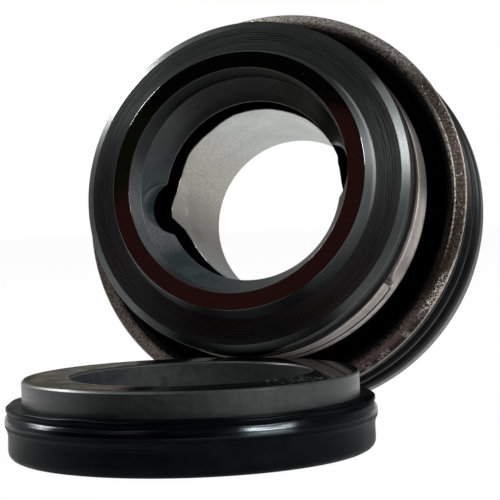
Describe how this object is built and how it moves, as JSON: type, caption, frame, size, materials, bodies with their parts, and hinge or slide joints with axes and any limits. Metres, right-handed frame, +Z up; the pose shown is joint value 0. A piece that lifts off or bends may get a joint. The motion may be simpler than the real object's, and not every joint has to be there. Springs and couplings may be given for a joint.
{
  "type": "component mechanical seal",
  "caption": "Pump shaft seal: a hard ring in a ribbed rubber boot, and a leaning spring-loaded carbon face in a ribbed rubber-jacketed metal cup.",
  "frame": {"origin": "centre of the seat's underside, on the ground that the part rests on", "axes": "+Z up along the seat's bore, the head leans back towards +Y behind the seat, X is across"},
  "size_m": [0.0458, 0.0607, 0.0468],
  "materials": {
    "seat_ring": "lapped",
    "boot_rubber": "satin",
    "case_metal": "rough drawn",
    "jacket_rubber": "satin",
    "sleeve_metal": "brushed",
    "guide_metal": "pressed",
    "spring_wire": "drawn",
    "bellows_rubber": "matt",
    "face_carbon": "lapped",
    "band_metal": "matt"
  },
  "bodies": {
    "root": {"seat_ring": "seat_ring", "seat_boot": "boot_rubber", "case": "case_metal", "case_jacket": "jacket_rubber", "inner_sleeve": "sleeve_metal", "rear_spring_guide": "guide_metal", "coil_spring": "spring_wire"},
    "face_group": {"face_ring": "face_carbon", "clamp_band": "band_metal", "spring_retainer": "guide_metal", "bellows": "bellows_rubber"}
  },
  "joints": [
    {"name": "face_travel", "type": "slide", "parent": "root", "child": "face_group", "axis": [0, 0.9774, -0.2116], "range_m": [0, 0.002], "stiffness_N_per_m": 2600, "springref_m": -0.01, "deforming": ["bellows", "coil_spring"]}
  ]
}
